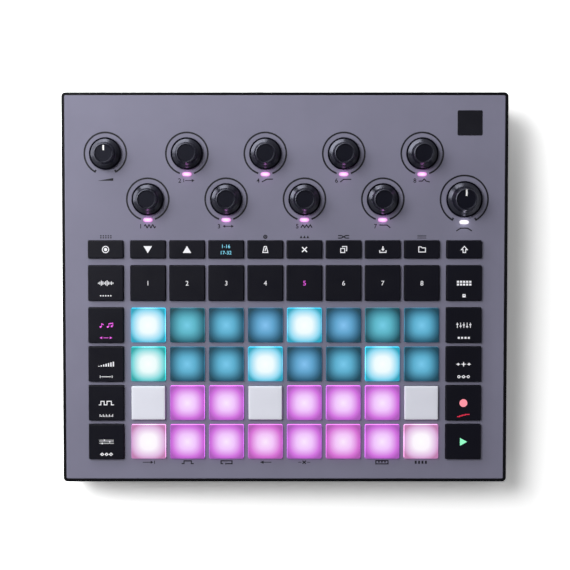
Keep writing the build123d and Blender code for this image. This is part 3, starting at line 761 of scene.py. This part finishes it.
def pad_data(name, top):
    """One soft-edged pad with a faint crown."""
    edge_level = top - pad_crown
    rings = [lift(rounded_outline(pad_side, pad_side, pad_corner), level)
             for level in (pad_bottom, edge_level - pad_edge)]
    for step in range(1, edge_steps + 1):
        angle = quarter * step / edge_steps
        inset = pad_edge * (1 - math.cos(angle))
        level = edge_level - pad_edge * (1 - math.sin(angle))
        side = pad_side - 2 * inset
        corner = max(pad_corner - inset, pad_corner * least_corner_share)
        rings.append(lift(rounded_outline(side, side, corner), level))
    for share in crown_shares:
        side = pad_side * share
        rings.append(lift(rounded_outline(side, side, pad_corner * share), top - pad_crown * share ** 2))
    mesh = bmesh.new()
    add_stack(mesh, rings)
    return close_mesh(mesh, name, pad_crease_angle)


def web_data(name, low, high):
    """Thin strip that carries a row of pads, with a foot under each."""
    mesh = bmesh.new()
    middle = (low + high) / 2
    outline = rounded_outline(high.x - low.x, high.y - low.y, pad_corner)
    add_prism(mesh, outline, web_bottom, pad_bottom)
    for u in column_u:
        foot = round_outline(foot_radius, circle_steps, (u - middle.x, 0))
        add_prism(mesh, foot, foot_bottom, web_bottom)
    return close_mesh(mesh, name)


def place_pads():
    for row, glow_names in enumerate(pad_rows, start=1):
        node = f"pad_row_{row}"
        low, high = panel_box(node)
        middle_v = (low.y + high.y) / 2
        web_place = panel @ Matrix.Translation(((low.x + high.x) / 2, middle_v, 0))
        web = add_piece(f"pad_web_{row}", web_data(f"pad_web_{row}", low, high), "pad_silicone", node,
                        web_place)
        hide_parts(node)
        for column, glow_name in enumerate(glow_names, start=1):
            name = f"pad_{row}_{column}"
            place = panel @ Matrix.Translation((column_u[column - 1], middle_v, 0))
            pad = add_piece(name, pad_data(name, high.z), glow_name, node, place)
            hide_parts(node)


place_pads()


# Knobs

def arc_through(start, middle, end, steps):
    """Points on the circle through three points, from the first to the last."""
    (ax, ay), (bx, by), (cx, cy) = start, middle, end
    twice = 2 * (ax * (by - cy) + bx * (cy - ay) + cx * (ay - by))
    squares = [x * x + y * y for x, y in (start, middle, end)]
    ox = (squares[0] * (by - cy) + squares[1] * (cy - ay) + squares[2] * (ay - by)) / twice
    oy = (squares[0] * (cx - bx) + squares[1] * (ax - cx) + squares[2] * (bx - ax)) / twice
    radius = math.hypot(ax - ox, ay - oy)
    first = math.atan2(ay - oy, ax - ox)
    sweep = (math.atan2(cy - oy, cx - ox) - first + half_turn) % (2 * half_turn) - half_turn
    angles = [first + sweep * step / steps for step in range(steps + 1)]
    return [(ox + radius * math.cos(angle), oy + radius * math.sin(angle)) for angle in angles]


def corner_arc(before, corner, after, radius):
    """Points of the arc that rounds a corner between two lines."""
    corner = Vector(corner)
    inward = (Vector(before) - corner).normalized()
    outward = (Vector(after) - corner).normalized()
    half_angle = inward.angle(outward) / 2
    reach = radius / math.tan(half_angle)
    sag = radius / math.sin(half_angle) - radius
    middle = corner + (inward + outward).normalized() * sag
    return arc_through(corner + inward * reach, middle, corner + outward * reach, brim_steps)


def knob_profile(base, top, height):
    """Radius and height of the knob's outside and of its crest, from its lower edge to near its axis."""
    skirt_top = knob_gap + knob_skirt
    side_top = height - knob_round
    brim = base - knob_ledge
    foot = (brim - brim_width, skirt_top + brim_rise)
    crown = top - knob_round
    dish = crown - knob_rim
    floor = height - dish_depth
    outside = [(base - soft_edge, knob_gap), (base, knob_gap + soft_edge), (base, skirt_top - soft_edge),
               (base - soft_edge, skirt_top), (brim, skirt_top)]
    outside += corner_arc((brim, skirt_top), foot, (top, side_top), brim_round)
    outside.append((top, side_top))
    crest = []
    for step in range(1, round_steps + 1):
        angle = quarter * step / round_steps
        crest.append((crown + knob_round * math.cos(angle), side_top + knob_round * math.sin(angle)))
    crest += [(dish, floor), (dish * hub_share, floor)]
    return outside, crest


def knob_data(name, profile, shaft_bottom):
    shaft = [(shaft_radius, shaft_bottom), (shaft_radius, knob_gap)]
    mesh = bmesh.new()
    add_stack(mesh, [lift(round_outline(radius, knob_segments), level) for radius, level in shaft + profile])
    return close_mesh(mesh, name, crease_angle)


def finish_zones(data, crown):
    """Satin brim, wall and rim, and a finer top, on a knob whose skirt keeps the first finish."""
    for finish in knob_zones:
        data.materials.append(finishes[finish].material)
    for polygon in data.polygons:
        if polygon.center.z > knob_gap + knob_skirt + weld_distance:
            polygon.material_index = 1 if polygon.center.xy.length > crown else 2


def level_at(skin, radius):
    """Height of a knob's skin at a radius."""
    for (low_r, low_w), (high_r, high_w) in zip(skin, skin[1:]):
        if low_r <= radius <= high_r:
            return low_w + (high_w - low_w) * (radius - low_r) / (high_r - low_r)


def pointer_data(name, crest, span):
    """White line laid along a knob's top, at twelve o'clock."""
    inner, outer = span
    skin = list(reversed(crest))
    radii = sorted({inner, outer} | {radius for radius, level in skin if inner < radius < outer})
    rings = []
    for radius in radii:
        low = level_at(skin, radius) - pointer_sink
        high = level_at(skin, radius) + pointer_proud
        rings.append([(-pointer_half, radius, low), (pointer_half, radius, low),
                      (pointer_half, radius, high), (-pointer_half, radius, high)])
    mesh = bmesh.new()
    add_stack(mesh, rings)
    return close_mesh(mesh, name)


def place_knobs():
    for node, middle in knob_middles.items():
        low, high = panel_box(node)
        top = filter_top_radius if node == "filter_knob" else top_radius
        outside, crest = knob_profile((high.x - low.x) / 2, top, high.z)
        place = panel @ Matrix.Translation((middle.x, middle.y, 0))
        name = f"{node}_cap"
        cap_data = knob_data(name, outside + crest, low.z)
        cap = add_piece(name, cap_data, "knob_black", node, place)
        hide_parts(node)
        finish_zones(cap.data, top - knob_round)
        if node in pointer_spans:
            name = f"{node}_pointer"
            line_data = pointer_data(name, crest, pointer_spans[node])
            add_piece(name, line_data, "pointer_white", node, place)


place_knobs()


# Light windows under the knobs

def lozenge_outline(grow):
    """Bar with half-round ends, grown on every side."""
    return rounded_outline(window_length + 2 * grow, window_width + 2 * grow, window_width / 2 + grow)


def window_data(name, low):
    levels = [(0, low), (0, flange_bottom), (window_flange, flange_bottom), (window_flange, panel_bottom),
              (0, panel_bottom), (0, 0), (-window_round, window_dome)]
    mesh = bmesh.new()
    add_stack(mesh, [lift(lozenge_outline(grow), level) for grow, level in levels])
    return close_mesh(mesh, name, crease_angle)


def window_lamp(name, place, colour):
    """Light that a window throws on the panel and on the knob over it."""
    data = bpy.data.lights.new(name, "POINT")
    data.color = colour
    data.energy = window_lamp_power
    data.shadow_soft_size = window_lamp_radius
    lamp = bpy.data.objects.new(name, data)
    lamp.location = place
    lamp.visible_camera = False
    scene.collection.objects.link(lamp)


def place_windows():
    low, high = panel_box("knob_light_pipes")
    for node in encoder_names + ["filter_knob"]:
        wide = node == "filter_knob"
        middle = knob_middles[node]
        drop = filter_window_drop if wide else window_drop
        name = node.replace("knob", "window")
        place = panel @ Matrix.Translation((middle.x, middle.y - drop, 0))
        finish = "white_window" if wide else "light_pipe"
        window = add_piece(name, window_data(name, low.z), finish, body_root, place)
        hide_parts("knob_light_pipes")
        tone = (white_window_tones if wide else pink_window_tones)[-1]
        lamp_place = panel @ Vector((middle.x, middle.y - drop, window_lamp_rise))
        window_lamp(f"{name}_lamp", lamp_place, tone)


place_windows()


# Print on the panel

def knob_rings():
    """Scale rings round the knobs, open at the bottom. The two dials' rings end in ticks."""
    pen = Pen(ring_line)
    for node, middle in knob_middles.items():
        dial = node in dial_names
        radius = filter_ring_radius if node == "filter_knob" else ring_radius
        gap = dial_ring_gap if dial else encoder_ring_gap
        pen.move((middle.x, middle.y), 1.0, 1.0)
        pen.arc(radius, gap - quarter, 3 * quarter - gap)
        for angle in (gap - quarter, 3 * quarter - gap) if dial else ():
            way = Vector((math.cos(angle), math.sin(angle)))
            pen.line(way * (radius + ring_line / 2), way * radius * dial_tick_share)
    return pen.data("knob_rings")


def knob_labels():
    """Small signs under the knobs, over the short keys and under the pads."""
    pen = Pen(mark_line)
    for node, sign in zip(encoder_names, knob_signs):
        middle = knob_middles[node]
        pen.sign(sign, (middle.x + knob_sign_step, middle.y - knob_label_drop), knob_sign)
    volume = knob_middles["volume_knob"]
    pen.sign("wedge", (volume.x, volume.y - volume_label_drop), dial_sign)
    cutoff = knob_middles["filter_knob"]
    pen.sign("sweep", (cutoff.x, cutoff.y - filter_label_drop), dial_sign)
    for key, sign in row_signs.items():
        middle = key_middles[key]
        pen.sign(sign, (middle.x, middle.y + row_label_rise), row_sign)
    last_row = panel_middle(f"pad_row_{len(pad_rows)}")
    for u, sign in zip(column_u, pad_signs):
        if sign:
            pen.sign(sign, (u, last_row.y - pad_label_drop), pad_sign)
    return pen.data("panel_signs")


def place_print():
    add_piece("knob_rings", knob_rings(), "print_black", body_root, panel)
    add_piece("panel_signs", knob_labels(), "print_black", body_root, panel)
    for number, node in enumerate(encoder_names, start=1):
        middle = knob_middles[node]
        place = panel @ Matrix.Translation((middle.x + knob_number_step, middle.y - knob_label_drop, 0))
        number_piece = number_data(str(number), knob_number_height, print_weight)
        add_piece(f"knob_number_{number}", number_piece, "print_black", body_root, place)


def place_badge():
    """Plain glossy square in the rear right corner."""
    mesh = bmesh.new()
    low_ring = lift(rounded_outline(badge_side, badge_side, badge_corner), -print_sink)
    rim_side = badge_side - 2 * badge_height
    rings = [low_ring, lift(rounded_outline(badge_side, badge_side, badge_corner), badge_height / 2),
             lift(rounded_outline(rim_side, rim_side, badge_corner - badge_height), badge_height)]
    add_stack(mesh, rings)
    place = panel @ Matrix.Translation((*badge_place, 0))
    add_piece("corner_badge", close_mesh(mesh, "corner_badge"), "badge_black", body_root, place)


place_print()
place_badge()


# Legends on the keys

def key_place(key, drop=0):
    middle = key_middles[key]
    return panel @ Matrix.Translation((middle.x, middle.y - drop, middle.z))


def place_sign(key, role, sign, size, finish, drop):
    """One drawn legend on a key, which it rides on."""
    pen = Pen(legend_line)
    pen.sign(sign, (0, 0), size)
    name = f"{key}_{role}"
    add_piece(name, pen.data(name), finish, f"{key}_button", key_place(key, drop))


def place_legends():
    for key, (sign, size) in key_signs.items():
        place_sign(key, "sign", sign, size, sign_legends.get(key, plain_legend), 0)
    for key, sign in second_signs.items():
        legend = second_legends.get(key, plain_legend)
        place_sign(key, "second_sign", sign, second_sign, legend, second_line_drop)
    for number in columns:
        key = f"track_{number}"
        legend = track_legends.get(number, plain_legend)
        add_piece(f"{key}_number", number_data(str(number), key_number_height), legend, f"{key}_button",
                  key_place(key))
    for side, words in page_words.items():
        add_piece(f"page_numbers_{words}", number_data(words, page_number_height), page_legend, "page_button",
                  key_place("page", side * page_line_gap))


place_legends()


# Camera

def aim(place, target):
    """Rotation that looks from a place to a target."""
    return (Vector(target) - Vector(place)).to_track_quat("-Z", "Y").to_euler()


camera_data = bpy.data.cameras.new("camera")
camera_data.lens = camera_lens
camera_data.sensor_width = sensor_width
camera_data.shift_x = camera_shift
camera = bpy.data.objects.new("camera", camera_data)
camera.location = camera_place
scene.collection.objects.link(camera)
scene.camera = camera


# Studio

def area_light(name, place, size, power):
    data = bpy.data.lights.new(name, "AREA")
    data.shape = "RECTANGLE"
    data.size, data.size_y = size
    data.energy = power
    light = bpy.data.objects.new(name, data)
    light.visible_camera = False
    light.location = place
    light.rotation_euler = aim(place, target_place)
    scene.collection.objects.link(light)


def seen_rays(nodes, links):
    """One for camera, glossy and transmission rays, zero for the rest."""
    path = nodes.new("ShaderNodeLightPath")
    total = path.outputs["Is Camera Ray"]
    for name in ("Is Glossy Ray", "Is Transmission Ray"):
        node = nodes.new("ShaderNodeMath")
        node.operation = "MAXIMUM"
        links.new(total, node.inputs[0])
        links.new(path.outputs[name], node.inputs[1])
        total = node.outputs["Value"]
    return total


def floor_material():
    """White floor that keeps the shadow, with a plain glow where it is seen that grows further out."""
    surface = bpy.data.materials.new("floor")
    surface.use_nodes = True
    nodes = surface.node_tree.nodes
    links = surface.node_tree.links
    nodes.clear()
    seen = seen_rays(nodes, links)
    diffuse = nodes.new("ShaderNodeBsdfDiffuse")
    links.new(spread(nodes, links, seen, (0, 1), (floor_tone, floor_seen_tone)), diffuse.inputs["Color"])
    distance = nodes.new("ShaderNodeVectorMath")
    distance.operation = "LENGTH"
    links.new(nodes.new("ShaderNodeTexCoord").outputs["Object"], distance.inputs[0])
    strength = nodes.new("ShaderNodeMath")
    strength.operation = "MULTIPLY"
    links.new(seen, strength.inputs[0])
    links.new(spread(nodes, links, distance.outputs["Value"], (floor_near, floor_far), (floor_glow, 1.0)),
              strength.inputs[1])
    glow = nodes.new("ShaderNodeEmission")
    links.new(strength.outputs["Value"], glow.inputs["Strength"])
    both = nodes.new("ShaderNodeAddShader")
    links.new(diffuse.outputs["BSDF"], both.inputs[0])
    links.new(glow.outputs["Emission"], both.inputs[1])
    output = nodes.new("ShaderNodeOutputMaterial")
    links.new(both.outputs["Shader"], output.inputs["Surface"])
    return surface


def place_floor():
    half = floor_side / 2
    corners = [(-half, -half), (half, -half), (half, half), (-half, half)]
    mesh = bmesh.new()
    mesh.faces.new([mesh.verts.new((x, y, 0)) for x, y in corners])
    data = close_mesh(mesh, "floor")
    data.materials.append(floor_material())
    floor = bpy.data.objects.new("floor", data)
    scene.collection.objects.link(floor)


def light_world():
    """White at the horizon, soft light above it that is brighter to the rear left."""
    world = bpy.data.worlds.new("studio")
    world.use_nodes = True
    nodes = world.node_tree.nodes
    links = world.node_tree.links
    background = nodes["Background"]
    background.inputs["Color"].default_value = (1.0, 1.0, 1.0, 1.0)
    direction = nodes.new("ShaderNodeTexCoord").outputs["Generated"]
    facing = nodes.new("ShaderNodeVectorMath")
    facing.operation = "DOT_PRODUCT"
    facing.inputs[1].default_value = ambient_side
    links.new(direction, facing.inputs[0])
    ambient = spread(nodes, links, facing.outputs["Value"], (-1, 1), ambient_span)
    parts = nodes.new("ShaderNodeSeparateXYZ")
    links.new(direction, parts.inputs["Vector"])
    sky = spread(nodes, links, parts.outputs["Z"], (0, horizon_share), (1.0, 1.0))
    links.new(ambient, sky.node.inputs["To Max"])
    links.new(sky, background.inputs["Strength"])
    scene.world = world


area_light("key_light", key_light_place, key_size, key_power)
area_light("strip_light", strip_place, strip_size, strip_power)
area_light("fill_light", fill_place, fill_size, fill_power)
place_floor()
light_world()
